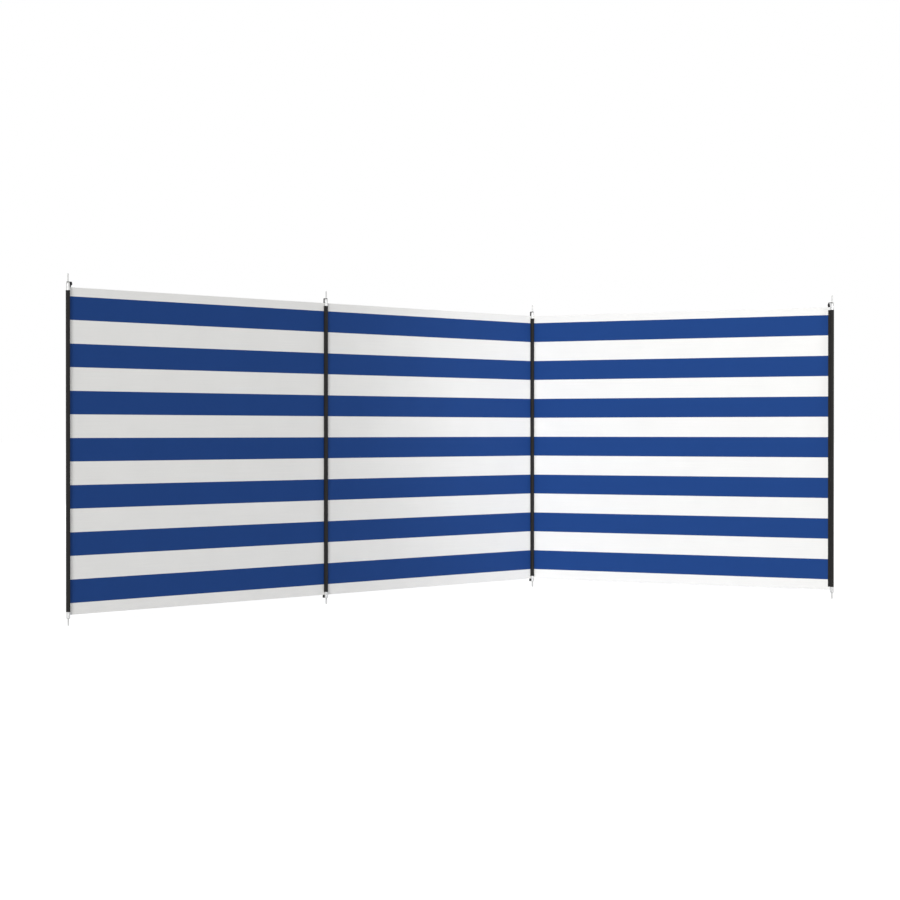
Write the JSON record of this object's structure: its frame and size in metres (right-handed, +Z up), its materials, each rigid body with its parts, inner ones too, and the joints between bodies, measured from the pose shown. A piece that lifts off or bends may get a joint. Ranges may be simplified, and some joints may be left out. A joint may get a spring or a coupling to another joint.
{
  "type": "beach windbreak",
  "caption": "Striped cloth windbreak in straight bays on slim steel poles, each with a ground spike and a top pin, turned at a corner; bays swing about the poles.",
  "frame": {"origin": "centre of the blunt tip of the corner pole's ground spike, at ground level", "axes": "+Z up along the poles; the middle and left bays run along -X from the corner pole and the right bay along -Y; the poles are on the cloth's -Y and -X side"},
  "size_m": [3.5795, 1.803, 1.5],
  "materials": {
    "bay_cloth": "woven striped polyester, matt, in blue and white",
    "sleeve_tape": "black woven sleeve, matt",
    "strap_tape": "black ribbed webbing",
    "steel_tube": "galvanised steel, satin",
    "steel_fitting": "zinc-plated steel, satin"
  },
  "bodies": {
    "middle_bay": {"middle_bay_cloth": "bay_cloth", "pole_2_tube": "steel_tube", "pole_2_top_pin": "steel_fitting", "pole_2_ground_spike": "steel_fitting", "pole_2_sleeve": "sleeve_tape", "pole_2_strap": "strap_tape", "pole_2_back_cloth": "bay_cloth", "pole_2_hem_tab": "strap_tape", "pole_3_tube": "steel_tube", "pole_3_top_pin": "steel_fitting", "pole_3_ground_spike": "steel_fitting", "pole_3_sleeve": "sleeve_tape", "pole_3_strap": "strap_tape", "pole_3_back_cloth": "bay_cloth", "pole_3_hem_tab": "strap_tape"},
    "left_bay": {"left_bay_cloth": "bay_cloth", "pole_1_tube": "steel_tube", "pole_1_top_pin": "steel_fitting", "pole_1_ground_spike": "steel_fitting", "pole_1_sleeve": "sleeve_tape", "pole_1_strap": "strap_tape"},
    "right_bay": {"right_bay_cloth": "bay_cloth", "pole_4_tube": "steel_tube", "pole_4_top_pin": "steel_fitting", "pole_4_ground_spike": "steel_fitting", "pole_4_sleeve": "sleeve_tape", "pole_4_strap": "strap_tape"}
  },
  "joints": [
    {"name": "left_bay_swing", "type": "hinge", "parent": "middle_bay", "child": "left_bay", "pos_m": [-1.78, 0, 0], "axis": [0, 0, 1], "range_deg": [-115, 115]},
    {"name": "right_bay_swing", "type": "hinge", "parent": "middle_bay", "child": "right_bay", "pos_m": [0, 0, 0], "axis": [0, 0, -1], "range_deg": [-205, 25]}
  ]
}
